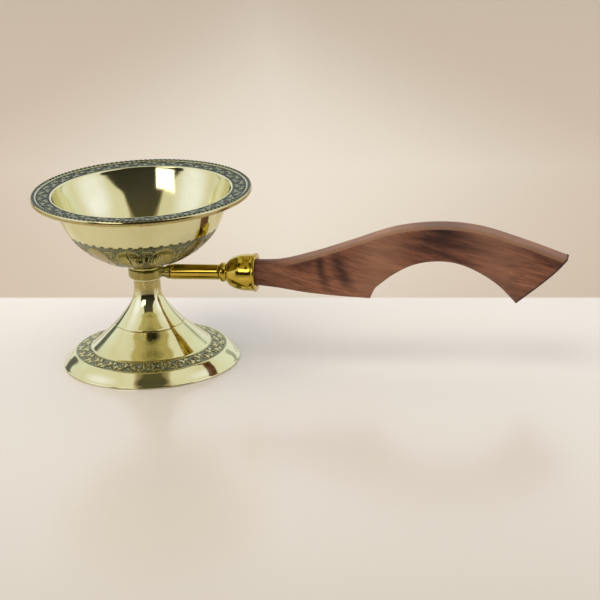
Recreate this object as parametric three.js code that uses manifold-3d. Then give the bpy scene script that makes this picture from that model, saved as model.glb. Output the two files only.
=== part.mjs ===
// A hand-held brass incense burner: a flanged bowl on a hollow trumpet foot, with a brass arm and a
// shaped wooden grip. A threaded stud hangs from the bowl's boss, passes through the arm's eye and the
// foot's neck, and a nut inside the hollow foot draws the whole stack together.
//
// Millimetres, +Z up. The origin is on the ground under the middle of the overall length, and +X runs
// along the arm towards the grip's tail. "reach" is the distance along the arm from the foot's axis.
import * as THREE from "three";
import { mergeVertices } from "three/addons/utils/BufferGeometryUtils.js";
import Module from "manifold-3d";

// Overall sizes
const rimRadius = 52.5;
const rimHeight = 85.7;
const footRadius = 42.4;
const gripReach = 201.5; // foot axis to the tip of the grip's tail
const pedestalX = (rimRadius - gripReach) / 2; // puts the origin under the middle of the length
const clearance = 0.3; // between faces that meet
const turnSegments = 48;

// Bowl: a round bottom whose wall leans outwards more and more up to the flange
const bowlFloor = 51.4;
const bossRadius = 8.4;

// Foot and the stack on the stud
const neckTop = 42.2;
const neckSeat = 28.5; // underside of the solid neck, where the washer bears
const studRadius = 2.9;
const studHole = 3.3;
const washer = { radius: 6.2, thickness: 1.3 };
const springWasher = { radius: 5.2, thickness: 1.5, slit: 0.35 };
const nut = { acrossCorners: 11.5, thickness: 4.9 };
const studBelowNut = 2;

// Arm
const eye = { radius: 8.6, thickness: 4.2 };
const eyeBottom = neckTop + clearance;
const eyeTop = eyeBottom + eye.thickness;
const armHeight = eyeBottom + eye.thickness / 2;
const bossBottom = eyeTop + clearance;
const studTop = bossBottom + 2.6;
const rodRadius = 3.65;
const rodStart = 12;
const rodEnd = 35.8;
const pegRadius = 2; // the eye's peg and the grip's screw
const pegHole = pegRadius + clearance;
const pegReach = 20;
const ferruleMouth = { reach: 53.9, radius: 9.2 };
const tenon = { radius: 6.4, start: 47.6 };
const screwStart = 26;
const screwEnd = 71.5;

// Grip
const gripThickness = 11;
const gripChamfer = 1.2;
const gripStart = 54.2;

const polishedBrass = new THREE.MeshStandardMaterial({ color: 0xd6c27a, roughness: 0.18, metalness: 1 });
const castBrass = new THREE.MeshStandardMaterial({ color: 0xa8944e, roughness: 0.35, metalness: 1 });
const goldenBrass = new THREE.MeshStandardMaterial({ color: 0xc9a23c, roughness: 0.22, metalness: 1 });
const steel = new THREE.MeshStandardMaterial({ color: 0x9a9a96, roughness: 0.4, metalness: 1 });
const rosewood = new THREE.MeshStandardMaterial({ color: 0x74452f, roughness: 0.5, metalness: 0 });

const wasm = await Module();
wasm.setup();

// [radius, height] pairs turned about +Z. The outside runs upwards, so that the faces point out.
function turned(profile, segments = turnSegments) {
  const points = profile.map(([radius, height]) => new THREE.Vector2(radius, height));
  return new THREE.LatheGeometry(points, segments).rotateX(Math.PI / 2);
}

// [radius, reach] pairs turned about the arm's axis, which runs along +X at armHeight.
function turnedAlongArm(profile, segments = 32) {
  const points = profile.map(([radius, reach]) => new THREE.Vector2(radius, reach));
  return new THREE.LatheGeometry(points, segments).rotateZ(-Math.PI / 2).translate(0, 0, armHeight);
}

function closedLoop(profile) {
  return [...profile, profile[0]];
}

function solid(geometry) {
  const bare = geometry.clone();
  bare.deleteAttribute("normal");
  bare.deleteAttribute("uv");
  const merged = mergeVertices(bare, 1e-4);
  return new wasm.Manifold(
    new wasm.Mesh({
      numProp: 3,
      vertProperties: merged.attributes.position.array,
      triVerts: new Uint32Array(merged.index.array),
    }),
  );
}

function geometryOf(manifold) {
  const mesh = manifold.getMesh();
  const geometry = new THREE.BufferGeometry();
  geometry.setAttribute("position", new THREE.BufferAttribute(mesh.vertProperties, 3));
  geometry.setIndex(new THREE.BufferAttribute(mesh.triVerts, 1));
  geometry.computeVertexNormals();
  return geometry;
}

function named(name, geometry, material) {
  const mesh = new THREE.Mesh(geometry, material);
  mesh.name = name;
  return mesh;
}

function bowl() {
  const boss = [
    [0, studTop + clearance],
    [studHole, studTop + clearance],
    [studHole, bossBottom],
    [bossRadius, bossBottom],
    [bossRadius + 0.4, bossBottom + 1.2],
  ];
  const outside = [
    [13.2, 50.1],
    [18.9, 52.1],
    [24.2, 55],
    [28.4, 58],
    [32.6, 62],
    [35.6, 66],
    [37.8, 70],
    [39.6, 74],
    [41.1, 78],
    [42, 80.6],
  ];
  const flangeUnderside = [
    [43.4, 81.7],
    [46, 82.2],
    [rimRadius - 0.9, 82.5],
  ];
  const bead = [
    [rimRadius, 83.5],
    [rimRadius - 0.2, 84.8],
    [rimRadius - 1.1, rimHeight],
    [rimRadius - 2.1, 85.2],
  ];
  const flangeTop = [
    [49.8, 84.9],
    [43, 84.4],
    [42.3, 83.7],
  ];
  const inside = [
    [41.1, 80],
    [39.2, 75],
    [36.4, 70],
    [33.9, 66],
    [30.7, 62],
    [26.3, 58],
    [21.4, 55],
    [15.4, 52.9],
    [8, 51.7],
    [0, bowlFloor],
  ];
  const profile = [...boss, ...outside, ...flangeUnderside, ...bead, ...flangeTop, ...inside];
  return named("bowl", turned(profile), polishedBrass);
}

function foot() {
  const outside = [
    [footRadius, 0],
    [36.5, 6.4], // top of the bevelled skirt, edge of the chased band
    [28.5, 8.5], // inner edge of the chased band
    [24, 12.6],
    [20, 16.3],
    [16.3, 19.8],
    [12.2, 24.5],
    [9.2, 28.5],
    [7.2, 32.6],
    [6.4, 36.5],
    [6.4, 41],
    [6.7, 41.4],
    [6.7, neckTop],
  ];
  const inside = [
    [studHole, neckTop],
    [studHole, neckSeat],
    [6.9, neckSeat],
    [10.4, 23.6],
    [15, 18],
    [22.8, 11],
    [27.4, 6.8],
    [35.2, 4.7],
    [39.6, 0],
  ];
  return named("foot", turned(closedLoop([...outside, ...inside])), polishedBrass);
}

function rod(radius, bottom, top) {
  return turned([[0, bottom], [radius, bottom], [radius, top], [0, top]], 24);
}

function ring(radius, bottom, top) {
  const section = [[studHole, bottom], [radius, bottom], [radius, top], [studHole, top]];
  return turned(closedLoop(section), 32);
}

function slitRing(radius, thickness, slitAngle) {
  const shape = new THREE.Shape();
  const end = 2 * Math.PI - slitAngle;
  shape.absarc(0, 0, radius, slitAngle, end, false);
  shape.absarc(0, 0, studHole, end, slitAngle, true);
  return new THREE.ExtrudeGeometry(shape, { depth: thickness, bevelEnabled: false, curveSegments: 14 });
}

function hexagonRing(acrossCorners, thickness) {
  const shape = new THREE.Shape();
  for (let corner = 0; corner < 6; corner++) {
    const angle = (corner * Math.PI) / 3;
    const x = (acrossCorners / 2) * Math.cos(angle);
    const y = (acrossCorners / 2) * Math.sin(angle);
    corner ? shape.lineTo(x, y) : shape.moveTo(x, y);
  }
  const hole = new THREE.Path().absarc(0, 0, studHole, 0, 2 * Math.PI, true);
  shape.holes.push(hole);
  return new THREE.ExtrudeGeometry(shape, { depth: thickness, bevelEnabled: false, curveSegments: 12 });
}

// The stud and what holds it under the neck, from the neck's seat downwards.
function fasteners() {
  const washerTop = neckSeat - clearance;
  const springTop = washerTop - washer.thickness - clearance;
  const nutTop = springTop - springWasher.thickness - clearance;
  const nutBottom = nutTop - nut.thickness;

  const stud = named("centre_stud", rod(studRadius, nutBottom - studBelowNut, studTop), steel);
  const flat = named("flat_washer", ring(washer.radius, washerTop - washer.thickness, washerTop), steel);
  const spring = named(
    "spring_washer",
    slitRing(springWasher.radius, springWasher.thickness, springWasher.slit),
    steel,
  );
  spring.position.z = springTop - springWasher.thickness;
  const hexNut = named("hex_nut", hexagonRing(nut.acrossCorners, nut.thickness), steel);
  hexNut.position.z = nutBottom;
  return [stud, flat, spring, hexNut];
}

// The flat ring round the stud, its lug that flares out to the rod's size, and the peg inside the rod.
function armEye() {
  const disc = turned([[0, eyeBottom], [eye.radius, eyeBottom], [eye.radius, eyeTop], [0, eyeTop]]);
  const lug = turnedAlongArm([
    [0, 4.5],
    [2, 4.5],
    [2.1, eye.radius],
    [2.8, 9.6],
    [3.4, 10.8],
    [rodRadius, rodStart],
    [pegRadius, rodStart],
    [pegRadius, pegReach],
    [0, pegReach],
  ]);
  const hole = rod(studHole, eyeBottom - 1, eyeTop + 1);
  return named("arm_eye", geometryOf(solid(disc).add(solid(lug)).subtract(solid(hole))), castBrass);
}

function armRod() {
  const start = rodStart + clearance;
  const profile = [
    [0, pegReach + clearance],
    [pegHole, pegReach + clearance],
    [pegHole, start],
    [rodRadius, start],
    [rodRadius, rodEnd],
    [pegHole, rodEnd],
    [pegHole, screwStart - clearance],
    [0, screwStart - clearance],
  ];
  return named("arm_rod", turnedAlongArm(profile), goldenBrass);
}

// A bead, a narrow waist and a bell whose mouth is a socket for the grip's tenon.
function ferrule() {
  const start = rodEnd + clearance;
  const profile = [
    [pegHole, start],
    [3.9, start],
    [4.5, start + 0.5],
    [4.7, start + 1.4],
    [4.5, start + 2.3],
    [4.3, start + 3],
    [5.3, 39.8],
    [6.2, 40.7],
    [7.1, 42.3],
    [7.8, 44],
    [8.6, 46.7],
    [8.95, 49.4],
    [ferruleMouth.radius, 53],
    [ferruleMouth.radius, 53.5],
    [ferruleMouth.radius - 0.4, ferruleMouth.reach],
    [tenon.radius + clearance, ferruleMouth.reach],
    [tenon.radius + clearance, tenon.start - clearance],
    [pegHole, tenon.start - clearance],
  ];
  return named("ferrule", turnedAlongArm(closedLoop(profile)), goldenBrass);
}

function gripScrew() {
  const profile = [[0, screwStart], [pegRadius, screwStart], [pegRadius, screwEnd], [0, screwEnd]];
  return named("grip_screw", turnedAlongArm(profile, 24), steel);
}

// The grip's side outline as [reach, height]: a swelling back, a rounded tail and a finger hollow.
function gripOutline() {
  const curveThrough = (shape, points) =>
    shape.splineThru(points.map(([reach, height]) => new THREE.Vector2(reach, height)));
  const shape = new THREE.Shape();
  shape.moveTo(gripStart, 38.6);
  curveThrough(shape, [[75, 36.5], [92, 34.8], [108.3, 33.7]]);
  curveThrough(shape, [[113, 40.6], [126, 49], [143, 52.2], [158, 48.1], [169, 40.8], [177, 32.2]]);
  curveThrough(shape, [[187.5, 40.5], [196, 47.5], [gripReach, 53.4]]);
  curveThrough(shape, [
    [180, 61.5],
    [160, 67.7],
    [141.7, 69.4],
    [121, 67.1],
    [99, 60],
    [80.3, 54.1],
    [65, 51.2],
    [gripStart, 50.9],
  ]);
  return shape;
}

function woodGrip() {
  const slab = new THREE.ExtrudeGeometry(gripOutline(), {
    depth: gripThickness - 2 * gripChamfer,
    bevelThickness: gripChamfer,
    bevelSize: gripChamfer,
    bevelOffset: -gripChamfer,
    bevelSegments: 1,
    curveSegments: 2,
  });
  slab.rotateX(Math.PI / 2).translate(0, gripThickness / 2 - gripChamfer, 0);
  // Rounds the grip off towards the ferrule, as if it had been turned down from the square.
  const pencil = turnedAlongArm([
    [0, gripStart + gripChamfer / 4],
    [tenon.radius, gripStart + gripChamfer / 4],
    [8.4, 64],
    [11.5, 80],
    [40, 120],
    [40, 220],
    [0, 220],
  ]);
  const tenonPeg = turnedAlongArm([
    [0, tenon.start],
    [tenon.radius, tenon.start],
    [tenon.radius, gripStart + 3],
    [0, gripStart + 3],
  ]);
  const bore = turnedAlongArm([
    [0, tenon.start - 1],
    [pegHole, tenon.start - 1],
    [pegHole, screwEnd + clearance],
    [0, screwEnd + clearance],
  ]);
  const wood = solid(slab).intersect(solid(pencil)).add(solid(tenonPeg)).subtract(solid(bore));
  return named("wood_grip", geometryOf(wood), rosewood);
}

const pedestal = new THREE.Group();
pedestal.add(bowl(), foot(), ...fasteners());

const arm = new THREE.Group();
arm.add(armEye(), armRod(), ferrule(), gripScrew(), woodGrip());

const burner = new THREE.Group();
burner.add(pedestal, arm);
burner.position.x = pedestalX;

export default burner;
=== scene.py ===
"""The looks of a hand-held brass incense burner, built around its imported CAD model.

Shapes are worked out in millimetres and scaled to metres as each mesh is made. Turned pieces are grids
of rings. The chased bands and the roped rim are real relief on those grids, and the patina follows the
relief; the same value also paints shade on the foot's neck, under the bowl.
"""
import math

import bpy
import numpy as np
from mathutils import Matrix, Vector


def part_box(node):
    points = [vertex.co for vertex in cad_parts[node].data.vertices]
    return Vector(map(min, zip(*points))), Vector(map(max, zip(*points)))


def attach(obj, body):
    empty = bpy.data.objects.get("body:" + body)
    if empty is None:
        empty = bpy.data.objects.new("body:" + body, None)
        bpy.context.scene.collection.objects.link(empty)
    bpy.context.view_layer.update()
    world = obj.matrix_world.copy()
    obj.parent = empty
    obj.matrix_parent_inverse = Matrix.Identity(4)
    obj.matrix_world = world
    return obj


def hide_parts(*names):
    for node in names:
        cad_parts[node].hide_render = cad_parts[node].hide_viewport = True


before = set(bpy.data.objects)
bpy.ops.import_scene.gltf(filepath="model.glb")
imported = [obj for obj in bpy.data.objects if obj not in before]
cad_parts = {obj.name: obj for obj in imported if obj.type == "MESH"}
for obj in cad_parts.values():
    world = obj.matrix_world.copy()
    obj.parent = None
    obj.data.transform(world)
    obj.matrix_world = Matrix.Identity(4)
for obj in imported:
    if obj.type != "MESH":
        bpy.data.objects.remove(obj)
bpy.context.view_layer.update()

MM = 0.001
TAU = 2 * math.pi

# ---------------------------------------------------------------- places, from the CAD frame (mm)


def node_box(node):
    low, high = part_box(node)
    return np.array(low) / MM, np.array(high) / MM


foot_low, foot_high = node_box("foot")
bowl_low, bowl_high = node_box("bowl")
_, eye_high = node_box("arm_eye")
rod_low, rod_high = node_box("arm_rod")
ferrule_low, ferrule_high = node_box("ferrule")
_, grip_high = node_box("wood_grip")
stud_low, stud_high = node_box("centre_stud")
screw_low, screw_high = node_box("grip_screw")
washer_low, washer_high = node_box("flat_washer")
spring_low, spring_high = node_box("spring_washer")
nut_low, nut_high = node_box("hex_nut")

axis_x = (foot_low[0] + foot_high[0]) / 2
arm_z = (rod_low[2] + rod_high[2]) / 2
rim_r = (bowl_high[0] - bowl_low[0]) / 2
rim_z = bowl_high[2]
boss_z = bowl_low[2]
foot_r = (foot_high[0] - foot_low[0]) / 2
neck_z = foot_high[2]
rod_r = (rod_high[2] - rod_low[2]) / 2
hole_r = 3.3  # of every hole that the stud goes through
eye_bottom = arm_z - 2.1
eye_top = arm_z + 2.1


def reach(x):
    """Distance along the arm from the foot's axis."""
    return x - axis_x


# ---------------------------------------------------------------- curves and profiles


def travelled(points):
    """The distance along a polyline at each of its points."""
    steps = np.linalg.norm(np.diff(points, axis=0), axis=1)
    return np.concatenate([[0], np.cumsum(steps)])


def curve_through(points, count):
    """Points along a smooth curve through the given ones (centripetal Catmull-Rom), evenly spaced."""
    p = np.array(points, float)
    p = np.vstack([2 * p[0] - p[1], p, 2 * p[-1] - p[-2]])
    dense = []
    for a, b, c, d in zip(p, p[1:], p[2:], p[3:]):
        ta = 0.0
        tb = ta + math.sqrt(np.linalg.norm(b - a))
        tc = tb + math.sqrt(np.linalg.norm(c - b))
        td = tc + math.sqrt(np.linalg.norm(d - c))
        t = np.linspace(tb, tc, 24, endpoint=False)[:, None]
        ab = (tb - t) / (tb - ta) * a + (t - ta) / (tb - ta) * b
        bc = (tc - t) / (tc - tb) * b + (t - tb) / (tc - tb) * c
        cd = (td - t) / (td - tc) * c + (t - tc) / (td - tc) * d
        abc = (tc - t) / (tc - ta) * ab + (t - ta) / (tc - ta) * bc
        bcd = (td - t) / (td - tb) * bc + (t - tb) / (td - tb) * cd
        dense.append((tc - t) / (tc - tb) * abc + (t - tb) / (tc - tb) * bcd)
    return resampled(np.vstack(dense + [p[-2:-1]]), count)


def resampled(points, count):
    """The polyline's points moved so that there are count + 1 of them, evenly spaced."""
    points = np.array(points, float)
    along = travelled(points)
    wanted = np.linspace(0, along[-1], count + 1)
    return np.stack([np.interp(wanted, along, points[:, k]) for k in range(points.shape[1])], -1)


def smooth_step(x, low, high):
    t = np.clip((x - low) / (high - low), 0, 1)
    return t * t * (3 - 2 * t)


class Zone:
    """A stretch of a turned profile: its points, how many segments go round it, and its relief if any.

    relief(angle, along, points) returns (height in mm, patina and painted shade from 0 to 1) on a grid of
    rows by segments.
    """

    def __init__(self, points, segments, relief=None):
        self.points = np.array(points, float)
        self.segments = segments
        self.relief = relief


# ---------------------------------------------------------------- meshes


def new_object(name, mesh):
    obj = bpy.data.objects.new(name, mesh)
    bpy.context.scene.collection.objects.link(obj)
    return obj


def mesh_object(name, vertices, faces, values=None, sharp_degrees=40):
    """An object from vertices in mm, with a float value per vertex for each name in values."""
    mesh = bpy.data.meshes.new(name)
    mesh.from_pydata((np.asarray(vertices) * MM).tolist(), [], [tuple(map(int, f)) for f in faces])
    mesh.update()
    for label, numbers in (values or {}).items():
        layer = mesh.attributes.new(label, "FLOAT", "POINT")
        layer.data.foreach_set("value", np.asarray(numbers, np.float32))
    mesh.shade_smooth()
    mesh.set_sharp_from_angle(angle=math.radians(sharp_degrees))
    return new_object(name, mesh)


def ring_faces(lower, upper):
    """Faces between two rings of vertex numbers, of which one may have a whole number of times more."""
    n, m = len(lower), len(upper)
    if n == m:
        return [(lower[j], lower[(j + 1) % n], upper[(j + 1) % n], upper[j]) for j in range(n)]
    faces = []
    if n < m:
        k = m // n
        for j in range(n):
            fan = [upper[(j * k + i) % m] for i in range(k, -1, -1)]
            faces.append((lower[j], lower[(j + 1) % n], *fan))
        return faces
    k = n // m
    for j in range(m):
        fan = [lower[(j * k + i) % n] for i in range(k + 1)]
        faces.append((*fan, upper[(j + 1) % m], upper[j]))
    return faces


def turned(name, zones, closed=True, place=None, sharp_degrees=40):
    """A solid of revolution about +Z from zones laid end to end, outside running upwards.

    A profile point on the axis becomes one vertex. place moves the points (an n by 3 array) where they go.
    """
    rings, vertices, patina_and_shade, lathe = [], [], [], []
    passed = 0.0
    for zone in zones:
        p = zone.points
        tangent = np.gradient(p, axis=0)
        tangent /= np.maximum(np.linalg.norm(tangent, axis=1, keepdims=True), 1e-9)
        normal = np.stack([tangent[:, 1], -tangent[:, 0]], -1)
        along = travelled(p)
        angle = np.arange(zone.segments) * TAU / zone.segments
        height = np.zeros((len(p), zone.segments))
        dark = np.zeros((len(p), zone.segments))
        if zone.relief:
            height, dark = zone.relief(angle[None, :], along[:, None], p)
        for i, (r, z) in enumerate(p):
            start = len(vertices)
            if r < 1e-6:
                vertices.append([0, 0, z])
                patina_and_shade.append(0)
                lathe.append(passed + along[i])
                rings.append([start])
                continue
            rr = r + height[i] * normal[i, 0]
            zz = z + height[i] * normal[i, 1]
            vertices.extend(np.stack([rr * np.cos(angle), rr * np.sin(angle), zz], -1).tolist())
            patina_and_shade.extend(dark[i].tolist())
            lathe.extend([passed + along[i]] * zone.segments)
            rings.append(list(range(start, start + zone.segments)))
        passed += along[-1]
    faces = []
    pairs = list(zip(rings, rings[1:]))
    if closed:
        pairs.append((rings[-1], rings[0]))
    for lower, upper in pairs:
        if len(lower) == 1 and len(upper) == 1:
            continue
        if len(lower) == 1:
            faces += [(lower[0], upper[(j + 1) % len(upper)], upper[j]) for j in range(len(upper))]
        elif len(upper) == 1:
            faces += [(lower[j], lower[(j + 1) % len(lower)], upper[0]) for j in range(len(lower))]
        else:
            faces += ring_faces(lower, upper)
    points = np.array(vertices, float)
    if place:
        points = place(points)
    return mesh_object(name, points, faces, {"patina_and_shade": patina_and_shade, "lathe": lathe}, sharp_degrees)


def on_pedestal(points):
    return points + [axis_x, 0, 0]


def along_arm(points):
    """Turns a piece made about +Z, whose height is its reach, to lie along the arm."""
    return np.stack([points[:, 2] + axis_x, points[:, 1], -points[:, 0] + arm_z], -1)


def joined_line(*corners, spacing=1.0):
    """A polyline through the corners, with points between them and two close together at each corner."""
    rows = []
    for a, b in zip(corners, corners[1:]):
        a, b = np.array(a, float), np.array(b, float)
        length = np.linalg.norm(b - a)
        inset = min(0.08 / max(length, 1e-6), 0.2)
        inner = np.linspace(inset, 1 - inset, max(2, int(length / spacing) + 1))
        rows.extend(a + (b - a) * t for t in inner)
    return np.array(rows)


# ---------------------------------------------------------------- chased relief


def stroke_height(x, y, points, widths, dome=0.5):
    """Height from 0 to 1 of a raised stroke along a polyline whose half-width changes along it."""
    points = np.array(points, float)
    widths = np.interp(np.linspace(0, 1, len(points)), np.linspace(0, 1, len(widths)), widths)
    best = np.zeros(np.broadcast(x, y).shape)
    for (ax, ay), (bx, by), wa, wb in zip(points, points[1:], widths, widths[1:]):
        dx, dy = bx - ax, by - ay
        t = np.clip(((x - ax) * dx + (y - ay) * dy) / max(dx * dx + dy * dy, 1e-9), 0, 1)
        distance = np.hypot(x - ax - t * dx, y - ay - t * dy)
        width = np.maximum(wa + (wb - wa) * t, 1e-3)
        edge = np.clip((width - distance) / 0.22, 0, 1)
        crown = np.sqrt(np.clip(1 - (distance / width) ** 2, 0, 1))
        best = np.maximum(best, edge * (1 - dome + dome * crown))
    return best


def spiral(cx, cy, start_angle, turns, radius, end_radius, count=18):
    t = np.linspace(0, 1, count)
    a = start_angle + turns * TAU * t
    r = radius + (end_radius - radius) * t
    return np.stack([cx + r * np.cos(a), cy + r * np.sin(a)], -1)


def leaf(x, y, base, tip, width, veins=True):
    """A pointed leaf from base to tip, with a sunken midrib and side veins."""
    base, tip = np.array(base, float), np.array(tip, float)
    length = np.linalg.norm(tip - base)
    d = (tip - base) / length
    along = ((x - base[0]) * d[0] + (y - base[1]) * d[1]) / length
    across = -(x - base[0]) * d[1] + (y - base[1]) * d[0]
    inside = np.clip(along, 0, 1)
    half = width * np.sin(np.pi * inside ** 0.8) ** 0.85
    edge = np.clip((half - np.abs(across)) / 0.22, 0, 1)
    edge = edge * (along > 0) * (along < 1)
    height = edge * (0.7 + 0.3 * np.sqrt(np.clip(1 - (across / np.maximum(half, 1e-3)) ** 2, 0, 1)))
    if veins:
        rib = np.clip(1 - np.abs(across) / 0.16, 0, 1)
        side = np.abs((along * length * 1.1 - np.abs(across) * 0.9) % 1.0 - 0.5)
        side = np.clip(1 - side / 0.13, 0, 1) * (np.abs(across) > 0.18)
        height = height * (1 - 0.65 * rib) * (1 - 0.4 * side)
    return height


def scroll_cell(x, y, pitch, width):
    """One repeat of the running vine: a wavy stem, a curl and leaves in each half, mirrored across."""
    total = np.zeros(np.broadcast(x, y).shape)
    middle = width / 2
    swing = width * 0.2
    u = np.linspace(-0.2, 1.2, 36)
    stem = np.stack([u * pitch, middle + swing * np.sin(TAU * u)], -1)
    total = np.maximum(total, stroke_height(x, y, stem, [0.34]))
    for half, side in ((0.25, -1), (0.75, 1)):
        for shift in (-pitch, 0, pitch):
            cx = half * pitch + shift
            cy = middle + side * swing * 0.75
            curl = spiral(cx, cy, side * 1.2, -side * 1.15, width * 0.24, 0.25)
            total = np.maximum(total, stroke_height(x, y, curl, [0.3, 0.3, 0.42]))
            root = (cx + pitch * 0.2, middle - side * swing * 0.2)
            tips = (
                (cx + pitch * 0.27, middle + side * width * 0.4),
                (cx + pitch * 0.12, middle + side * width * 0.43),
                (cx + pitch * 0.36, middle + side * width * 0.22),
            )
            for tip in tips:
                total = np.maximum(total, leaf(x, y, root, tip, 0.62, veins=False))
            outer = (cx - pitch * 0.02, middle - side * width * 0.1)
            for k in (-1, 0, 1):
                tip = (cx + k * pitch * 0.13, middle - side * width * (0.42 - 0.06 * abs(k)))
                total = np.maximum(total, leaf(x, y, outer, tip, 0.55, veins=False))
    return total


def outlined(raised):
    """How much dark wax is left: most of it along the foot of each stroke, some on the flat ground."""
    return np.exp(-(((raised - 0.15) / 0.22) ** 2))


def running_vine(repeats, radius, width, depth, shade, deepest, ground):
    """Relief of a vine between two grooved borders, sunk into the surface, for a band of that width.

    ground(raised) says how dark the pattern's ground is, from 0 (shade) to 1 (deepest).
    """
    pitch = TAU * radius / repeats

    def relief(angle, along, points):
        x = (angle * radius) % pitch
        height = scroll_cell(x, along, pitch, width)
        border = 0.55
        from_edge = np.minimum(along, width - along)
        raised = np.where(from_edge < border, np.ones_like(height), height)
        groove = np.clip(1 - np.abs(from_edge - border - 0.12) / 0.2, 0, 1)
        raised = raised * (1 - groove)
        fade = smooth_step(from_edge, 0, 0.25)
        dark = (shade + (deepest - shade) * ground(raised)) * fade
        return -depth * (1 - raised) * fade, dark

    return relief


PETAL_FULLNESS = 0.82  # share of its cell that a petal fills at its widest
SCALLOPS = 4  # of the border, to each petal


def petal_band(repeats, width, depth, shade, deepest):
    """Relief of big veined leaves under a scalloped border, with curls between them, round the bowl."""

    def relief(angle, along, points):
        radius = points[:, 0][:, None]
        cell = TAU / repeats
        turn = (angle / cell + 0.5) % 1 - 0.5
        x = turn * cell * radius
        half = cell * radius / 2
        total = np.zeros(np.broadcast(x, along).shape)
        phase = ((angle / cell * SCALLOPS) % 1 - 0.5) * 2
        rim = 1.6 - 1.1 * np.sqrt(np.clip(1 - phase ** 2, 0, 1))
        outside = smooth_step(rim - along, -0.12, 0.12)
        lip = np.clip(1 - np.abs(along - rim - 0.45) / 0.32, 0, 1)
        seed_x = phase * cell * radius / SCALLOPS / 2
        seed = np.clip((0.42 - np.hypot(seed_x, along - 2.1)) / 0.2, 0, 1)
        total = np.maximum(total, np.maximum(lip, seed))
        tip, base = 2.5, width - 0.8
        rows = np.linspace(0, 1, 30)
        spread = np.sin(np.pi * rows ** 0.72) ** 0.75
        outline = np.interp(along[:, 0], tip + (base - tip) * rows, spread, left=0, right=0)
        outline = outline[:, None] * PETAL_FULLNESS
        where = np.abs(x) / half
        on_petal = (along > tip) & (along < base)
        petal = np.clip((outline - where) * half / 0.25, 0, 1) * on_petal
        scored = np.clip(1 - np.abs(where - outline * 0.78) * half / 0.2, 0, 1) * 0.9
        midrib = np.clip(1 - np.abs(x) / 0.24, 0, 1)
        vein = np.abs(((along - np.abs(x) * 1.2) / 1.35) % 1 - 0.5)
        vein = np.clip(1 - vein / 0.17, 0, 1) * (where < outline * 0.7) * 0.75
        petal = petal * (1 - np.maximum.reduce([scored, midrib, vein]))
        total = np.maximum(total, petal)
        side_x = np.abs(x) - half
        between = where > outline + 0.05
        for cy, size in ((5.4, 1.7), (9.2, 1.2)):
            curl = spiral(-size * 0.55, cy, 2.4, 1.25, size, 0.3)
            total = np.maximum(total, stroke_height(side_x, along, curl, [0.36, 0.36, 0.5]) * between)
        sprig = leaf(side_x, along, (0.0, 14.5), (0.0, 6.0), 1.5)
        total = np.maximum(total, sprig * between)
        lower = width - 0.9
        total = np.maximum(total, np.clip(1 - np.abs(along - lower) / 0.3, 0, 1))
        total = np.maximum(total, outside)
        fade = smooth_step(np.minimum(along + 0.2, width - along), 0, 0.3)
        sunk = (1 - total) * fade * (1 - outside)
        dark = (shade + (deepest - shade) * outlined(total)) * fade * (1 - outside)
        return -depth * sunk, dark

    return relief


def tarnish_and_shade(shade):
    """No relief, but an even darkening that fades out at both edges of the zone: tarnish on the bowl's lip,
    painted shade on the neck's top and bore.
    """

    def relief(angle, along, points):
        across = along / along.max()
        dark = shade * np.sin(np.pi * across) ** 0.5 + 0 * angle
        return np.zeros_like(dark), dark

    return relief


def roped(ribs, depth, slant, shade):
    """Slanted ribs round a bead, with dark grooves between them."""

    def relief(angle, along, points):
        across = along / along.max()
        phase = ribs * angle + slant * (across - 0.5)
        rib = np.abs(np.cos(phase / 2)) ** 0.7
        fade = np.sin(np.pi * np.clip(across, 0, 1)) ** 0.4
        return -depth * (1 - rib) * fade, np.clip((1 - rib) ** 0.7 * 1.1 + shade, 0, 1) * fade

    return relief


# ---------------------------------------------------------------- materials


class Nodes:
    """Short ways to add and link shader nodes in one tree."""

    def __init__(self, tree):
        self.tree = tree

    def add(self, kind, inputs=None, **settings):
        """A new node with those settings. inputs gives a link or a value by each input's name or number."""
        node = self.tree.nodes.new(kind)
        for key, value in settings.items():
            setattr(node, key, value)
        for key, value in (inputs or {}).items():
            if hasattr(value, "is_output"):
                self.link(value, node.inputs[key])
            else:
                node.inputs[key].default_value = value
        return node

    def link(self, source, target):
        self.tree.links.new(source, target)

    def math(self, operation, a, b=0.0, c=0.0, clamp=False):
        inputs = {0: a, 1: b, 2: c}
        return self.add("ShaderNodeMath", inputs, operation=operation, use_clamp=clamp).outputs[0]

    def apart(self, a, b):
        return self.math("ABSOLUTE", self.math("SUBTRACT", a, b))

    def mix(self, factor, a, b):
        return self.add("ShaderNodeMix", {0: factor, 6: a, 7: b}, data_type="RGBA").outputs[2]

    def ranged(self, value, low, high, to_low, to_high, smooth=False):
        inputs = dict(enumerate((value, low, high, to_low, to_high)))
        kind = "SMOOTHSTEP" if smooth else "LINEAR"
        return self.add("ShaderNodeMapRange", inputs, interpolation_type=kind).outputs[0]

    def noise(self, vector, scale, detail=4.0, roughness=0.55, distortion=0.0):
        inputs = {"Vector": vector, "Scale": scale, "Detail": detail, "Roughness": roughness}
        inputs["Distortion"] = distortion
        return self.add("ShaderNodeTexNoise", inputs).outputs["Fac"]

    def attribute(self, name):
        return self.add("ShaderNodeAttribute", attribute_name=name).outputs["Fac"]

    def object_coordinates(self):
        return self.add("ShaderNodeTexCoord").outputs["Object"]

    def split(self, vector):
        return self.add("ShaderNodeSeparateXYZ", {0: vector}).outputs

    def stretched(self, vector, scale, turn=(0, 0, 0)):
        inputs = {"Vector": vector, "Scale": scale, "Rotation": turn}
        return self.add("ShaderNodeMapping", inputs).outputs[0]

    def bump(self, height, distance, strength=1.0, normal=None):
        inputs = {"Strength": strength, "Distance": distance, "Height": height}
        if normal is not None:
            inputs["Normal"] = normal
        return self.add("ShaderNodeBump", inputs).outputs[0]


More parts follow.
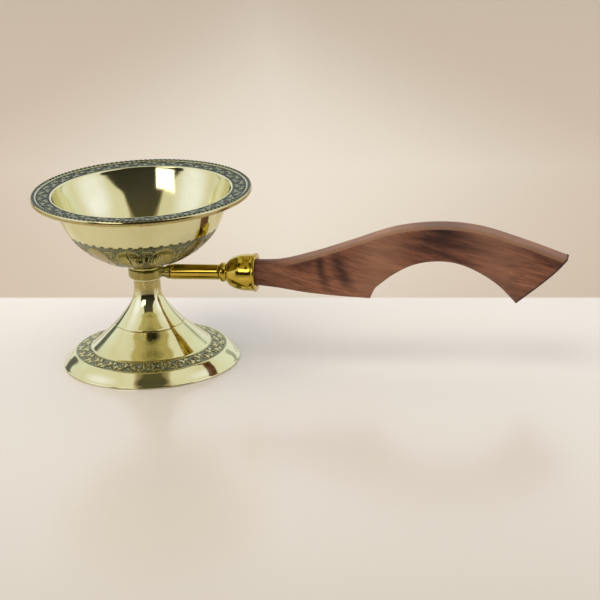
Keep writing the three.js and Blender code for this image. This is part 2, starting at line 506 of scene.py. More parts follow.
def new_material(name):
    material = bpy.data.materials.new(name)
    material.use_nodes = True
    material.node_tree.nodes.clear()
    n = Nodes(material.node_tree)
    shader = n.add("ShaderNodeBsdfPrincipled")
    n.add("ShaderNodeOutputMaterial", {0: shader.outputs[0]})
    return material, n, shader


def brass(name, colour, tarnish, roughness, line_depth=0.004):
    """Brass with fine turning lines along the "lathe" value, and tarnish and painted shade that darken with
    "patina_and_shade".

    As that value rises from 0 to 1 the metal turns warm, then to verdigris, then to black wax; on the
    foot's neck it is painted shade, elsewhere real tarnish and wax.
    """
    warm = (0.42, 0.335, 0.115, 1)
    verdigris = (0.26, 0.275, 0.15, 1)
    black = (0.018, 0.022, 0.018, 1)
    material, n, shader = new_material(name)
    place = n.object_coordinates()
    dark = n.attribute("patina_and_shade")
    cloud = n.noise(place, 45, 3)
    fine = n.noise(place, 900, 3)
    line_at = {"W": n.math("MULTIPLY", n.attribute("lathe"), 3.0), "Scale": 1.0, "Detail": 3.0}
    line = n.add("ShaderNodeTexNoise", line_at, noise_dimensions="1D").outputs["Fac"]
    body = n.mix(n.ranged(cloud, 0.4, 0.7, 0, 0.55, smooth=True), (*colour, 1), (*tarnish, 1))
    # grime_and_shade: real patina and wax from the relief, and painted shade on the foot's neck under the
    # bowl
    grime_and_shade = n.math("MULTIPLY", dark, n.ranged(fine, 0.3, 0.7, 0.82, 1.18), clamp=True)
    dulled = n.mix(n.ranged(grime_and_shade, 0.0, 0.14, 0, 1), body, warm)
    dulled = n.mix(n.ranged(grime_and_shade, 0.16, 0.40, 0, 1, smooth=True), dulled, verdigris)
    n.link(n.mix(n.ranged(grime_and_shade, 0.46, 0.84, 0, 1), dulled, black), shader.inputs["Base Color"])
    n.link(n.ranged(grime_and_shade, 0.3, 1, 1.0, 0.3), shader.inputs["Metallic"])
    rough = n.math("ADD", n.ranged(line, 0.3, 0.7, -0.015, 0.02), roughness)
    rough = n.math("ADD", rough, n.ranged(cloud, 0.35, 0.7, 0, 0.04))
    rough = n.math("ADD", rough, n.ranged(grime_and_shade, 0, 1, 0, 0.38), clamp=True)
    n.link(rough, shader.inputs["Roughness"])
    lines = n.bump(line, line_depth * MM)
    n.link(n.bump(fine, 0.003 * MM, normal=lines), shader.inputs["Normal"])
    return material


def rosewood(name):
    """Oiled rosewood: long dark pores and streaks, a cloudy figure, dark cross bands and a painted
    highlight along the top.

    "highlight_and_end_grain" is above 0 where the top face and upper chamfers are painted paler as
    highlight, and below 0 on the sealed end grain of the tail.
    """
    material, n, shader = new_material(name)
    place = n.object_coordinates()
    highlight_and_end_grain = n.attribute("highlight_and_end_grain")
    tilted = n.stretched(place, (1, 1, 1), (0, math.radians(-14), 0))
    streak = n.noise(n.stretched(tilted, (16, 90, 150)), 1.0, 6, 0.65, 0.8)
    pore = n.noise(n.stretched(tilted, (170, 1500, 1900)), 1.0, 3, 0.6)
    blotch = n.noise(n.stretched(place, (34, 40, 50), (0, math.radians(30), 0)), 1.0, 4, 0.6, 0.9)
    wave = n.noise(n.stretched(tilted, (10, 30, 80)), 1.0, 3, 0.5, 1.5)
    x, _, z = n.split(place)
    along = n.math("MULTIPLY_ADD", x, 1 / MM, -axis_x)
    height = n.math("MULTIPLY_ADD", z, 1 / MM, -arm_z)
    along = n.math("ADD", along, n.ranged(wave, 0.3, 0.7, -1.6, 1.6))

    def cloud(centre, half_width, strength, lean=0.0):
        """The strength of a soft band across the grain, centred there and leaning with height."""
        here = n.math("ADD", along, n.math("MULTIPLY", height, lean))
        return n.ranged(n.apart(here, centre), 0, half_width, strength, 0, smooth=True)

    bands = n.math("MAXIMUM", cloud(86.9, 3.6, 0.72, 0.25), cloud(97.2, 5.8, 0.8, 0.42))
    bands = n.math("MULTIPLY", bands, n.ranged(n.apart(height, 2.5), 5.5, 11, 1, 0, smooth=True))
    crest = n.math("MULTIPLY", cloud(143, 24, 1.0), n.ranged(height, 7, 19, 0.0, 1.0))
    bands = n.math("MAXIMUM", bands, crest)
    bands = n.math("MAXIMUM", bands, n.math("MAXIMUM", cloud(50, 34, 0.6), cloud(210, 34, 0.55)))
    bands = n.math("MULTIPLY", bands, n.ranged(streak, 0.3, 0.65, 1.2, 0.75))
    colour = n.add("ShaderNodeValToRGB")
    stops = colour.color_ramp.elements
    stops[0].position = 0.30
    stops[0].color = (0.055, 0.019, 0.014, 1)
    stops[1].position = 0.70
    stops[1].color = (0.53, 0.235, 0.125, 1)
    middle = stops.new(0.48)
    middle.color = (0.265, 0.102, 0.055, 1)
    figure = n.math("ADD", n.math("MULTIPLY", streak, 0.6), n.math("MULTIPLY", wave, 0.4))
    n.link(figure, colour.inputs["Fac"])
    shade = n.math("MAXIMUM", n.ranged(blotch, 0.50, 0.68, 0.0, 0.55, smooth=True), bands, clamp=True)
    darker = n.mix(shade, colour.outputs[0], (0.034, 0.015, 0.014, 1))
    fine_grain = n.noise(n.stretched(tilted, (70, 520, 760)), 1.0, 4, 0.65)
    darker = n.mix(n.ranged(fine_grain, 0.46, 0.68, 0.0, 0.5), darker, (0.060, 0.022, 0.017, 1))
    pores = n.ranged(pore, 0.34, 0.46, 0.5, 0.0)
    grained = n.mix(pores, darker, (0.022, 0.009, 0.007, 1))
    grained = n.mix(cloud(113, 20, 0.45), grained, (0.42, 0.22, 0.13, 1))
    grained = n.mix(cloud(168, 22, 0.30), grained, (0.42, 0.22, 0.14, 1))
    # painted highlight: the top face and the upper chamfers, which face the light, are mixed towards a
    # paler brown
    painted_top_highlight = n.mix(n.ranged(highlight_and_end_grain, 0, 1, 0, 0.65), grained, (0.30, 0.165, 0.09, 1))
    sealed = n.mix(n.ranged(highlight_and_end_grain, -1, 0, 0.8, 0), painted_top_highlight, (0.035, 0.016, 0.018, 1))
    n.link(sealed, shader.inputs["Base Color"])
    n.link(n.ranged(streak, 0.3, 0.7, 0.45, 0.60), shader.inputs["Roughness"])
    shader.inputs["Specular IOR Level"].default_value = 0.2
    n.link(n.bump(pore, 0.05 * MM, 0.6), shader.inputs["Normal"])
    return material


def zinc_steel(name):
    material, n, shader = new_material(name)
    place = n.object_coordinates()
    cloud = n.noise(place, 300, 4)
    n.link(n.mix(cloud, (0.42, 0.42, 0.40, 1), (0.62, 0.60, 0.55, 1)), shader.inputs["Base Color"])
    n.link(n.ranged(cloud, 0.3, 0.7, 0.28, 0.45), shader.inputs["Roughness"])
    shader.inputs["Metallic"].default_value = 1.0
    n.link(n.bump(n.noise(place, 2500, 2), 0.01 * MM), shader.inputs["Normal"])
    return material


POLISHED = brass("polished_brass", (0.74, 0.71, 0.41), (0.64, 0.59, 0.29), 0.055)
GOLDEN = brass("golden_brass", (0.55, 0.395, 0.06), (0.41, 0.285, 0.038), 0.09)
CAST = brass("cast_brass", (0.37, 0.31, 0.09), (0.26, 0.21, 0.06), 0.20, 0.002)
WOOD = rosewood("rosewood")
STEEL = zinc_steel("zinc_steel")


def finish_piece(obj, material, body, slot, *nodes):
    obj.data.materials.clear()
    obj.data.materials.append(material)
    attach(obj, body)
    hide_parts(*nodes)
    return obj


# ---------------------------------------------------------------- the bowl and the foot

# (radius, height) down the bowl's two walls, which lean outwards more and more up to the flange
OUTSIDE_WALL = [
    (42.0, 80.6), (41.1, 78), (39.6, 74), (37.8, 70), (35.6, 66), (32.6, 62),
    (28.4, 58), (24.2, 55), (18.9, 52.1), (13.2, 50.1), (10.4, 49.3),
]
INSIDE_WALL = [
    (42.35, 83.6), (41.05, 80), (38.95, 75), (36.3, 70), (33.8, 66), (30.7, 62),
    (26.3, 58), (21.4, 55), (15.4, 52.9), (8, 51.7), (0.0, 51.4),
]


CHASED_FROM, CHASED_TO = 13.0, 36.8  # radii between which the bowl is chased outside


def make_bowl():
    plain, fine, chased = 272, 1088, 544
    stud_hole_top = stud_high[2] + 0.3
    boss = joined_line(
        (0, stud_hole_top), (hole_r, stud_hole_top), (hole_r, boss_z), (8.0, boss_z), spacing=1.2
    )
    boss = np.vstack([[0, stud_hole_top], boss])
    wall = curve_through(OUTSIDE_WALL[::-1], 130)
    wall_start = tuple(wall[wall[:, 0] > 11.0][0])
    flare = curve_through(
        [(8.1, boss_z), (8.5, boss_z + 0.5), (8.8, 48.1), (9.8, 48.95), wall_start], 10
    )
    lower = wall[(wall[:, 0] > 11.4) & (wall[:, 0] < CHASED_FROM)]
    band = resampled(wall[(wall[:, 0] >= CHASED_FROM) & (wall[:, 0] <= CHASED_TO)], 50)
    upper = wall[wall[:, 0] > CHASED_TO][::3]
    under = curve_through(
        [(42.15, 80.9), (42.8, 81.5), (44.4, 82.0), (48.0, 82.25), (rim_r - 0.9, 82.55)], 14
    )
    lip = curve_through(
        [
            (rim_r - 0.6, 82.65), (rim_r - 0.15, 83.1), (rim_r, 83.8), (rim_r - 0.1, 84.5),
            (rim_r - 0.25, 84.9),
        ],
        8,
    )
    bead = curve_through(
        [
            (rim_r - 0.3, 84.95), (rim_r - 0.6, 85.4), (rim_r - 1.2, rim_z), (rim_r - 1.85, 85.4),
            (rim_r - 2.2, 84.95),
        ],
        10,
    )
    flange = resampled([(rim_r - 2.35, 84.92), (43.2, 84.45)], 25)
    inner_lip = curve_through([(43.05, 84.46), (42.75, 84.38), (42.5, 84.1), (42.4, 83.8)], 5)
    inside = curve_through(INSIDE_WALL, 40)
    width = travelled(band)[-1]
    petals = petal_band(12, width, 0.28, 0.15, 0.86)

    def from_top(angle, along, points):
        return petals(angle, width - along, points)

    vine = running_vine(32, 46.6, travelled(flange)[-1], 0.3, 0.46, 1.0, lambda raised: 1 - raised)
    zones = [
        Zone(boss, plain),
        Zone(flare, plain),
        Zone(lower, plain),
        Zone(band, chased, from_top),
        Zone(upper, plain),
        Zone(under, plain),
        Zone(lip, plain, tarnish_and_shade(0.13)),
        Zone(bead, fine, roped(136, 0.46, 2.4, 0.55)),
        Zone(flange, fine, vine),
        Zone(inner_lip, plain),
        Zone(inside, plain),
    ]
    obj = turned("bowl_chased", zones, closed=False, place=on_pedestal)
    return finish_piece(obj, POLISHED, "pedestal", "polished_brass", "bowl")


SCORE_Z = 19.6  # height of the scored line, where the trumpet steepens


def make_foot():
    plain, chased = 176, 704
    skirt = joined_line((39.6, 0.0), (foot_r, 0.0), (foot_r, 0.7), spacing=1.2)
    bevel = curve_through([(foot_r - 0.1, 0.85), (41.9, 1.1), (39.4, 4.1), (37.1, 6.3)], 12)
    band = resampled([(36.7, 6.5), (28.5, 8.6)], 32)
    trumpet = curve_through(
        [
            (28.0, 8.9), (24, 12.4), (20, 16.2), (16.3, 19.8), (12.2, 24.5), (9.2, 28.5), (7.2, 32.6),
            (6.45, 36.5), (6.4, 40.9),
        ],
        180,
    )

    def turning(angle, along, points):
        """A scored line where the trumpet steepens, faint tool marks round it, and painted shade on the
        neck under the bowl.
        """
        z = points[:, 1][:, None]
        scored = np.exp(-(((z - SCORE_Z) / 0.22) ** 2))
        marks = 0.5 - 0.5 * np.cos(TAU * z / 0.6)
        marks = marks * smooth_step(26.0 - z, 0, 8.0) * smooth_step(z, 8.8, 10.5)
        depth = 0.09 * scored + 0.004 * marks
        spread = np.zeros_like(angle) + 1
        # painted shade: the neck darkens towards its top, where the bowl above shades it
        shade_under_bowl = smooth_step(z, 33.0, 38.5)
        return -depth * spread, (0.12 * scored + 0.13 * shade_under_bowl) * spread

    lip = joined_line(
        (6.4, 41.0), (6.7, 41.3), (6.7, neck_z), (hole_r, neck_z), (hole_r, 28.5), (6.9, 28.5),
        spacing=1.5,
    )
    hollow = curve_through(
        [
            (7.2, 28.2), (10.4, 23.6), (15, 18), (22.8, 11), (27.4, 6.9), (31.4, 5.7), (35.2, 4.6),
            (39.3, 0.2),
        ],
        44,
    )
    zones = [
        Zone(skirt, plain),
        Zone(bevel, plain),
        Zone(band, chased, running_vine(22, 32.5, travelled(band)[-1], 0.3, 0.07, 0.90, outlined)),
        Zone(trumpet, plain, turning),
        # painted shade in the dark gap at the neck's top, under the bowl's boss, and down its bore
        Zone(lip, plain, tarnish_and_shade(0.14)),
        Zone(hollow, plain),
    ]
    obj = turned("foot_chased", zones, place=on_pedestal)
    return finish_piece(obj, POLISHED, "pedestal", "polished_brass", "foot")


# ---------------------------------------------------------------- fasteners


def threaded(name, radius, start, end, pitch, place, depth=0.32):
    """A rod with a real helical thread and chamfered ends, made about +Z."""
    segments = 48
    rows = int((end - start) / pitch * 8)
    z = np.linspace(start, end, rows + 1)
    angle = np.arange(segments) * TAU / segments

    def relief(angle, along, points):
        turn = (along / pitch - angle / TAU) % 1
        tooth = np.abs(turn - 0.5) * 2
        from_end = np.minimum(along, along.max() - along)
        fade = smooth_step(from_end, 0, 0.6)
        return -depth * tooth * fade - (1 - fade) * depth, 0.2 * tooth

    body = Zone(np.stack([np.full_like(z, radius), z], -1), segments, relief)
    bottom = Zone([[0, start], [radius - depth - 0.25, start]], segments)
    top = Zone([[radius - depth - 0.25, end], [0, end]], segments)
    return turned(name, [bottom, body, top], closed=False, place=place, sharp_degrees=60)


def make_nut():
    """A hexagon with both faces chamfered by a cone, and a plain bore round the stud."""
    apothem = (nut_high[1] - nut_low[1]) / 2
    segments = 120
    low, high = nut_low[2], nut_high[2]
    heights = np.concatenate(
        [
            np.linspace(low, low + 0.9, 6),
            np.linspace(low + 1.2, high - 1.2, 4),
            np.linspace(high - 0.9, high, 6),
        ]
    )
    angle = np.arange(segments) * TAU / segments
    corner = (angle % (TAU / 6)) - TAU / 12
    hexagon = apothem / np.cos(corner)
    rings = []
    for height in heights:
        from_end = min(height - low, high - height)
        rings.append((np.minimum(hexagon, apothem * 0.97 + from_end * 1.7), height))
    for r, height in ((hole_r + 0.3, high), (hole_r, high - 0.3), (hole_r, low + 0.3), (hole_r + 0.3, low)):
        rings.append((np.full(segments, r), height))
    points = [np.stack([r * np.cos(angle), r * np.sin(angle), np.full(segments, h)], -1) for r, h in rings]
    faces = []
    numbers = [range(i * segments, (i + 1) * segments) for i in range(len(rings))]
    for lower, upper in zip(numbers, numbers[1:] + numbers[:1]):
        faces += ring_faces(lower, upper)
    obj = mesh_object("hexagon_nut", on_pedestal(np.vstack(points)), faces, sharp_degrees=25)
    return finish_piece(obj, STEEL, "pedestal", "steel", "hex_nut")


def make_washer():
    r, low, high = (washer_high[0] - washer_low[0]) / 2, washer_low[2], washer_high[2]
    edge = joined_line(
        (hole_r, low), (r - 0.15, low), (r, low + 0.15), (r, high - 0.15), (r - 0.15, high), (hole_r, high)
    )
    obj = turned("plain_washer", [Zone(edge, 96)], place=on_pedestal)
    return finish_piece(obj, STEEL, "pedestal", "steel", "flat_washer")


def make_spring_washer():
    """A split ring whose two ends are sprung a little apart."""
    r, low, high = (spring_high[1] - spring_low[1]) / 2, spring_low[2], spring_high[2]
    section = joined_line((hole_r, low), (r, low), (r, high), (hole_r, high), (hole_r, low), spacing=0.8)
    count = 72
    split = 0.18  # half the gap, in radians
    rings = []
    for i, a in enumerate(np.linspace(split, TAU - split, count)):
        lift = 0.12 * (i / (count - 1) - 0.5)
        rings.append([[p[0] * math.cos(a), p[0] * math.sin(a), p[1] + lift] for p in section])
    k = len(section)
    faces = [
        (i * k + j, (i + 1) * k + j, (i + 1) * k + (j + 1) % k, i * k + (j + 1) % k)
        for i in range(count - 1)
        for j in range(k)
    ]
    faces.append(tuple(range(k)))
    faces.append(tuple(reversed(range((count - 1) * k, count * k))))
    points = on_pedestal(np.array(rings).reshape(-1, 3))
    obj = mesh_object("split_washer", points, [f[::-1] for f in faces])
    return finish_piece(obj, STEEL, "pedestal", "steel", "spring_washer")


# ---------------------------------------------------------------- the arm


def applied(obj):
    """Gives obj the mesh that its modifiers make, and removes them."""
    graph = bpy.context.evaluated_depsgraph_get()
    mesh = bpy.data.meshes.new_from_object(obj.evaluated_get(graph))
    old = obj.data
    obj.modifiers.clear()
    obj.data = mesh
    bpy.data.meshes.remove(old)
    return obj


def make_eye():
    """The cast ring and its flared lug, blended into one casting, with the stud's hole bored after."""
    low, high = eye_bottom, eye_top
    r = 8.6
    edge = 0.6
    ring = [
        (0, low), (r - edge, low), (r - 0.1, low + 0.15), (r, low + edge),
        (r, high - edge), (r - 0.1, high - 0.15), (r - edge, high), (0, high),
    ]
    disc = turned("eye_disc", [Zone(ring, 96)], closed=False, place=on_pedestal)
    lug_rows = curve_through([(2.15, 4.5), (2.2, 8.4), (2.7, 9.5), (3.3, 10.7), (rod_r, 11.9)], 16)
    lug_rows = np.vstack([[0, 4.5], lug_rows, [rod_r, 12.0], [0, 12.0]])
    lug = turned("eye_lug", [Zone(lug_rows, 64)], closed=False, place=along_arm)
    for v in lug.data.vertices:  # the lug widens towards the ring
        v.co.y *= 1 + 0.9 * float(smooth_step(reach(v.co.x / MM), 12.0, 6.0))
    union = disc.modifiers.new("union", "BOOLEAN")
    union.operation = "UNION"
    union.object = lug
    applied(disc)
    bpy.data.objects.remove(lug)
    remesh = disc.modifiers.new("remesh", "REMESH")
    remesh.mode = "VOXEL"
    remesh.voxel_size = 0.22 * MM
    soften = disc.modifiers.new("soften", "SMOOTH")
    soften.factor = 0.5
    soften.iterations = 6
    applied(disc)
    bore_rows = [(0, low - 1), (hole_r, low - 1), (hole_r, high + 1), (0, high + 1)]
    bore = turned("eye_bore", [Zone(bore_rows, 64)], closed=False, place=on_pedestal)
    cut = disc.modifiers.new("bore", "BOOLEAN")
    cut.operation = "DIFFERENCE"
    cut.object = bore
    peg_rows = [(0, 11.6), (2.0, 11.6), (2.0, eye_high[0] - axis_x), (0, eye_high[0] - axis_x)]
    peg = turned("eye_peg", [Zone(peg_rows, 32)], closed=False, place=along_arm)
    join = disc.modifiers.new("peg", "BOOLEAN")
    join.operation = "UNION"
    join.object = peg
    applied(disc)
    bpy.data.objects.remove(bore)
    bpy.data.objects.remove(peg)
    disc.data.shade_smooth()
    disc.data.set_sharp_from_angle(angle=math.radians(40))
    disc.name = "arm_eye_cast"
    return finish_piece(disc, CAST, "arm", "cast_brass", "arm_eye")


def make_rod():
    start, end = reach(rod_low[0]), reach(rod_high[0])
    edge = 0.25
    side = joined_line(
        (rod_r - edge, start), (rod_r, start + edge), (rod_r, end - edge), (rod_r - edge, end), spacing=0.6
    )
    rows = np.vstack([[[0, start], [rod_r - edge, start]], side, [[rod_r - edge, end], [0, end]]])
    obj = turned("arm_rod_turned", [Zone(rows, 96)], closed=False, place=along_arm)
    return finish_piece(obj, GOLDEN, "arm", "golden_brass", "arm_rod")


def make_ferrule():
    """Bead collar, narrow waist and bell with a small flare at its mouth, hollow for the grip's tenon."""
    start, mouth = reach(ferrule_low[0]), reach(ferrule_high[0])
    r = (ferrule_high[2] - ferrule_low[2]) / 2
    collar = curve_through(
        [
            (3.7, start), (4.4, start + 0.4), (4.7, start + 1.3), (4.45, start + 2.4),
            (4.25, start + 2.9), (4.5, start + 3.3),
        ],
        16,
    )
    bell = curve_through(
        [
            (5.1, start + 3.6), (6.2, 40.7), (7.1, 42.2), (7.85, 44.0),
            (8.5, 46.5), (8.72, 49.2), (8.75, 51.2), (9.0, 52.6),
        ],
        34,
    )
    rim = joined_line(
        (9.05, 52.7), (r, 53.0), (r, mouth - 0.25), (r - 0.25, mouth), (6.7, mouth), (6.7, 47.3),
        (2.3, 47.3), (2.3, start), (3.6, start),
        spacing=0.8,
    )
    profile = np.vstack([collar, bell, rim])
    obj = turned("ferrule_turned", [Zone(profile, 128)], place=along_arm, sharp_degrees=35)
    return finish_piece(obj, GOLDEN, "arm", "golden_brass", "ferrule")


# ---------------------------------------------------------------- the wooden grip

# all as (reach, height) or reach, in mm
GRIP_START = 54.2
PRONG = (108.3, 33.7)
TAIL_LOW = (177.0, 32.2)
TAIL_TOP = (reach(grip_high[0]), 53.4)
HALF_THICKNESS = 5.5
CHAMFER = 1.3
TENON_START, TENON_R = 47.6, 6.4


def grip_rails(count):
    """The grip's back and underside from the ferrule to the tail, as matched rows of (reach, height)."""
    back = [
        (GRIP_START, 50.9), (65, 51.2), (80.3, 54.1), (99, 60), (121, 67.1), (141.7, 69.4),
        (160, 67.7), (180, 61.5), TAIL_TOP,
    ]
    belly = [(GRIP_START, 38.6), (75, 36.5), (92, 34.8), PRONG]
    hollow = [
        PRONG, (110.8, 38.6), (113.2, 40.7), (119.5, 45.4), (127.6, 49.7), (134.8, 51.7),
        (143, 52.2), (150.1, 51.2), (158, 48.1), (168.3, 41.4), TAIL_LOW,
    ]
    back_points = curve_through(back, 600)
    turn = int(np.argmin(np.abs(back_points[:, 0] - 110.5)))
    front = int(count * 0.40)
    rear = count - front
    top = np.vstack([resampled(back_points[: turn + 1], front), resampled(back_points[turn:], rear)[1:]])
    belly_points, hollow_points = curve_through(belly, 200), curve_through(hollow, 400)
    low = np.vstack([resampled(belly_points, front), resampled(hollow_points, rear)[1:]])
    return low, top


def grip_section(half_height, half_width, chamfer, roundness=0.35):
    """A chamfered rectangle's outline as rows of (across, up), with its corners a little rounded."""
    a, b, c = half_height, half_width, chamfer
    corners = np.array(
        [
            (b - c, -a), (b, -a + c), (b, a - c), (b - c, a),
            (-b + c, a), (-b, a - c), (-b, -a + c), (-b + c, -a),
        ]
    )
    counts = [4, 14, 4, 8, 4, 14, 4, 8]
    points = []
    for k, here in enumerate(corners):
        before, after = corners[k - 1], corners[(k + 1) % 8]
        into = (before - here) / np.linalg.norm(before - here)
        out = (after - here) / np.linalg.norm(after - here)
        p, q = here + into * roundness, here + out * roundness
        for t in (0.0, 0.5, 1.0):
            points.append((1 - t) ** 2 * p + 2 * t * (1 - t) * here + t * t * q)
        stop = after - out * roundness
        for t in np.linspace(0, 1, counts[k] + 1)[1:-1]:
            points.append(q + (stop - q) * t)
    return np.array(points)


def tenon_ring(x, r):
    """A circle about the arm's line, whose points match those of the grip's sections one by one."""
    half_height = 6.15
    section = grip_section(half_height, HALF_THICKNESS, CHAMFER)
    turn = np.arctan2(section[:, 1] / half_height, section[:, 0] / HALF_THICKNESS)
    return np.stack([np.full(len(turn), x), r * np.cos(turn), arm_z + r * np.sin(turn)], -1)


def make_grip():
    """Sections from the round root at the ferrule to the curved tail, with the tenon in front of them."""
    stations = 190
    low, top = grip_rails(stations)
    tail = curve_through([TAIL_LOW, (188.3, 41.0), (196.6, 48.1), TAIL_TOP], 60)
    tail_share = np.linspace(0, 1, len(tail))
    tenon = (
        (TENON_START, 2.3), (TENON_START, 6.0), (TENON_START + 0.4, TENON_R),
        (51.0, TENON_R), (GRIP_START - 0.3, TENON_R),
    )
    rings = [tenon_ring(x, r) for x, r in tenon]
    highlight_and_end_grain = [np.zeros(len(ring)) for ring in rings]
    for i in range(stations + 1):
        a, b = low[i], top[i]
        length = np.linalg.norm(b - a)
        section = grip_section(length / 2, HALF_THICKNESS, min(CHAMFER, length / 6))
        up = (section[:, 1] / length + 0.5)[:, None]
        place = a * (1 - up) + b * up
        straight = low[-1] * (1 - up) + top[-1] * up
        bent = np.hstack([np.interp(up, tail_share, tail[:, k]) for k in range(2)])
        place = place + (bent - straight) * (i / stations) ** 10
        square = np.stack([place[:, 0], section[:, 0], place[:, 1]], -1)
        turn = np.arctan2(section[:, 1] / (length / 2), section[:, 0] / HALF_THICKNESS)
        middle = (a[1] + b[1]) / 2
        circle = np.stack([place[:, 0], TENON_R * np.cos(turn), middle + length / 2 * np.sin(turn)], -1)
        squareness = float(smooth_step(a[0], GRIP_START, GRIP_START + 26))
        rings.append(circle * (1 - squareness) + square * squareness)
        # painted highlight: the upper chamfers get full strength and the top face 0.6, paler where they
        # face the light
        near_top = section[:, 1] > length / 2 - CHAMFER - 0.1
        on_chamfer = near_top & (np.abs(section[:, 0]) > HALF_THICKNESS - CHAMFER - 0.1)
        highlight_and_end_grain.append(np.maximum(on_chamfer, 0.6 * near_top) * squareness)
    end_face = rings[-1].copy()
    end_half = HALF_THICKNESS - CHAMFER * 0.7
    end_face[:, 1] = np.clip(end_face[:, 1], -end_half, end_half)
    rings[-1] = rings[-1] - [CHAMFER * 0.55, 0, -CHAMFER * 0.45]
    rings.append(end_face)
    k = len(end_face)
    highlight_and_end_grain[-1] = np.full(k, -0.5)
    highlight_and_end_grain.append(np.full(k, -1.0))
    numbers = [range(i * k, (i + 1) * k) for i in range(len(rings))]
    faces = []
    for near, far in zip(numbers, numbers[1:]):
        faces += ring_faces(near, far)
    faces.append(tuple(reversed(numbers[0])))
    faces.append(tuple(numbers[-1]))
    points = np.vstack(rings) + [axis_x, 0, 0]
    values = {"highlight_and_end_grain": np.concatenate(highlight_and_end_grain)}
    obj = mesh_object("grip_rosewood", points, [f[::-1] for f in faces], values, sharp_degrees=50)
    return finish_piece(obj, WOOD, "arm", "rosewood", "wood_grip")


# ---------------------------------------------------------------- stage, light and camera

CAMERA_AZIMUTH = 11.0  # degrees from looking along +Y
CAMERA_PITCH = 18.62
CAMERA_ROLL = 2.8
CAMERA_PLACE = (0.23108, -1.19159, 0.440)
CAMERA_LENS = 162.0


def camera_axes():
    a, e, roll = (math.radians(v) for v in (CAMERA_AZIMUTH, CAMERA_PITCH, CAMERA_ROLL))
    right = Vector((math.cos(a), math.sin(a), 0))
    ahead = Vector((-math.sin(a) * math.cos(e), math.cos(a) * math.cos(e), -math.sin(e)))
    up = right.cross(ahead)
    return (
        right * math.cos(roll) - up * math.sin(roll),
        right * math.sin(roll) + up * math.cos(roll),
        ahead,
    )


def make_camera():
    camera = bpy.data.cameras.new("camera")
    camera.lens = CAMERA_LENS
    camera.sensor_width = 36.0
    camera.clip_start, camera.clip_end = 0.05, 20.0
    obj = new_object("camera", camera)
    right, up, ahead = camera_axes()
    obj.matrix_world = Matrix.Translation(CAMERA_PLACE) @ Matrix((right, up, -ahead)).transposed().to_4x4()
    bpy.context.scene.camera = obj


SEAM_POINT = (-0.0181, 0.0943)  # on the floor, where the pale sheet meets the warmer backdrop
SEAM_TURN = 2.3  # degrees from +X


def make_floor():
    """One flat sheet, pale in front of the seam and warmer beyond it, with painted shade that darkens it
    towards the camera, the sides and the far back.
    """
    size = 4.0
    corners = [(-size, -size, 0), (size, -size, 0), (size, size, 0), (-size, size, 0)]
    mesh = bpy.data.meshes.new("floor")
    mesh.from_pydata(corners, [], [(0, 1, 2, 3)])
    floor = new_object("floor", mesh)
    floor.location.z = -0.0001
    material, n, shader = new_material("floor_sheet")
    rotation = (0, 0, math.radians(SEAM_TURN))
    seam = {"Vector": n.object_coordinates(), "Location": (*SEAM_POINT, 0), "Rotation": rotation}
    x, y, _ = n.split(n.add("ShaderNodeMapping", seam, vector_type="TEXTURE").outputs[0])
    beyond = n.ranged(y, -0.002, 0.002, 0, 1, smooth=True)
    # painted shade: the pale sheet darkens towards the camera
    sheet = n.mix(n.ranged(y, -0.36, 0.0, 0, 1), (0.60, 0.53, 0.43, 1), (0.83, 0.755, 0.655, 1))
    # painted shade: the backdrop darkens towards its sides and away from a band 0.24 m beyond the seam
    side = n.apart(x, n.math("MULTIPLY", y, -0.18))
    far = n.math("ADD", n.math("MULTIPLY", side, 4.2), n.math("MULTIPLY", n.apart(y, 0.24), 1.7))
    back = n.mix(n.ranged(far, 0.0, 1.1, 0, 1, smooth=True), (0.80, 0.72, 0.59, 1), (0.60, 0.49, 0.37, 1))
    n.link(n.mix(beyond, sheet, back), shader.inputs["Base Color"])
    n.link(n.ranged(beyond, 0, 1, 0.22, 0.9), shader.inputs["Roughness"])
    shader.inputs["Specular IOR Level"].default_value = 0.5
    mesh.materials.append(material)


# the light tent's colours, and where its parts are
SHEET = (0.90, 0.88, 0.84, 1)
SHEET_CORE = (1.20, 1.24, 1.72, 1)
SHEET_BEHIND = (0.92, 0.97, 1.02, 1)
DARK_STRIP = (0.06, 0.062, 0.06, 1)
GAP_LOW = (0.023, 0.019, 0.016, 1)
GAP_MIDDLE = (0.065, 0.060, 0.050, 1)
GAP_HIGH = (0.11, 0.10, 0.055, 1)
FRINGE = (0.34, 0.23, 0.09, 1)
WINDOW = (3.2, 3.1, 2.9, 1)
CORE_CENTRE = (0.88, -0.18, 0.42)  # direction, the same on both sides
WINDOW_CENTRE = (-0.47, 0.44)  # x and z of its direction
LEFT_STRIP_BEARING, RIGHT_STRIP_BEARING = -0.64, 0.60  # radians from straight ahead


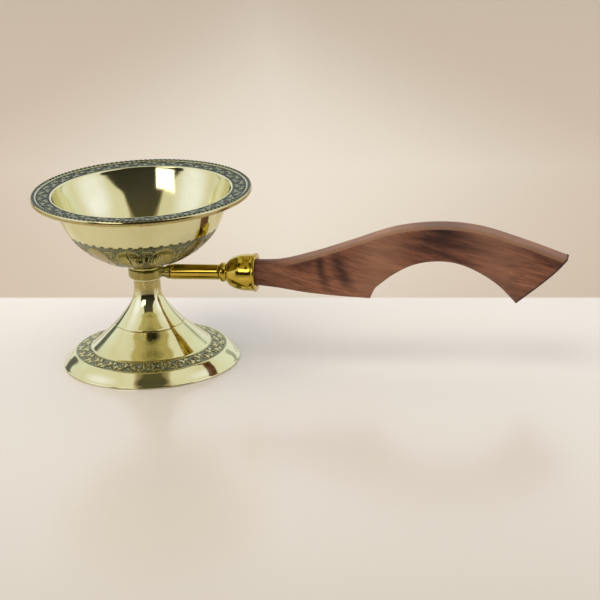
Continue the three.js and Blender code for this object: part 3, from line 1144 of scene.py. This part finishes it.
def make_world():
    """A light tent: bright sheets left and right, a dark gap round the camera, a pale sheet behind.

    Directions are turned so that x is to the camera's right, y is ahead of it and z is up.
    """
    world = bpy.data.worlds.new("light_tent")
    bpy.context.scene.world = world
    world.use_nodes = True
    world.node_tree.nodes.clear()
    n = Nodes(world.node_tree)
    direction = n.add("ShaderNodeTexCoord").outputs["Generated"]
    turn = {"Vector": direction, "Angle": math.radians(-CAMERA_AZIMUTH)}
    x, y, z = n.split(n.add("ShaderNodeVectorRotate", turn, rotation_type="Z_AXIS").outputs[0])
    side = n.math("ABSOLUTE", x)
    low_edge = n.math("MINIMUM", n.math("MULTIPLY_ADD", z, -1.2, 1.14), 0.80)
    gap_edge = n.math("MAXIMUM", low_edge, n.math("MULTIPLY_ADD", z, -0.6, 0.78))
    softness = n.math("MULTIPLY_ADD", n.math("POWER", n.math("MAXIMUM", z, 0.0), 5.0), 0.09, 0.012)
    in_gap = n.math("DIVIDE", n.math("SUBTRACT", gap_edge, side), softness)
    in_gap = n.ranged(in_gap, -1, 1, 0, 1, smooth=True)
    in_gap = n.math("MULTIPLY", in_gap, n.ranged(y, 0.30, 0.36, 1, 0, smooth=True))
    folded = n.add("ShaderNodeCombineXYZ", {0: side, 1: y, 2: z}).outputs[0]
    off = n.add("ShaderNodeVectorMath", {0: folded, 1: CORE_CENTRE}, operation="DISTANCE").outputs["Value"]
    core = n.ranged(off, 0.12, 0.55, 1, 0, smooth=True)
    sheet = n.mix(core, SHEET, SHEET_CORE)
    behind = n.ranged(y, 0.25, 0.55, 0, 1, smooth=True)
    tent = n.mix(behind, sheet, SHEET_BEHIND)
    bearing = n.math("ARCTAN2", x, y)
    left = n.ranged(n.apart(bearing, LEFT_STRIP_BEARING), 0.09, 0.15, 0.9, 0, smooth=True)
    right = n.ranged(n.apart(bearing, RIGHT_STRIP_BEARING), 0.04, 0.09, 0.55, 0, smooth=True)
    low = n.ranged(z, 0.28, 0.42, 1, 0, smooth=True)
    tent = n.mix(n.math("MULTIPLY", n.math("MAXIMUM", left, right), low), tent, DARK_STRIP)
    middle = n.mix(n.ranged(z, 0.1, 0.6, 0, 1), GAP_LOW, GAP_MIDDLE)
    gap = n.mix(n.ranged(z, 0.6, 0.95, 0, 1), middle, GAP_HIGH)
    across = n.ranged(n.apart(x, WINDOW_CENTRE[0]), 0.165, 0.185, 1, 0)
    upward = n.ranged(n.apart(z, WINDOW_CENTRE[1]), 0.12, 0.135, 1, 0)
    window = n.math("MULTIPLY", across, upward)
    window = n.math("MULTIPLY", window, n.math("LESS_THAN", y, 0.0))
    fringe = n.math("MULTIPLY", n.math("MULTIPLY", in_gap, n.math("SUBTRACT", 1.0, in_gap)), 2.8)
    lit = n.mix(fringe, n.mix(in_gap, tent, gap), FRINGE)
    lit = n.mix(window, lit, WINDOW)
    background = n.add("ShaderNodeBackground", {"Color": lit})
    n.add("ShaderNodeOutputWorld", {0: background.outputs[0]})


def make_lights():
    """One large soft lamp high in front, which isn't seen in the metal."""
    lamp = bpy.data.lights.new("high_box", "AREA")
    lamp.shape = "RECTANGLE"
    lamp.size, lamp.size_y = 1.4, 1.0
    lamp.energy = 12.0
    lamp.color = (1.0, 0.97, 0.92)
    obj = new_object("high_box", lamp)
    obj.location = (-0.35, -0.55, 1.45)
    obj.rotation_mode = "QUATERNION"
    obj.rotation_quaternion = Vector((-0.35, -0.65, 1.45)).to_track_quat("Z", "Y")
    obj.visible_glossy = False


# ---------------------------------------------------------------- putting it together

make_camera()
make_bowl()
make_foot()
stud_r = (stud_high[0] - stud_low[0]) / 2
stud = threaded("centre_stud_threaded", stud_r, stud_low[2], stud_high[2], 1.0, on_pedestal)
finish_piece(stud, STEEL, "pedestal", "steel", "centre_stud")
make_washer()
make_spring_washer()
make_nut()
make_eye()
make_rod()
make_ferrule()
screw_start, screw_end = reach(screw_low[0]), reach(screw_high[0])
screw = threaded("grip_screw_threaded", 2.0, screw_start, screw_end, 0.7, along_arm, depth=0.22)
finish_piece(screw, STEEL, "arm", "steel", "grip_screw")
make_grip()
make_floor()
make_world()
make_lights()
bpy.context.scene.view_settings.view_transform = "Standard"
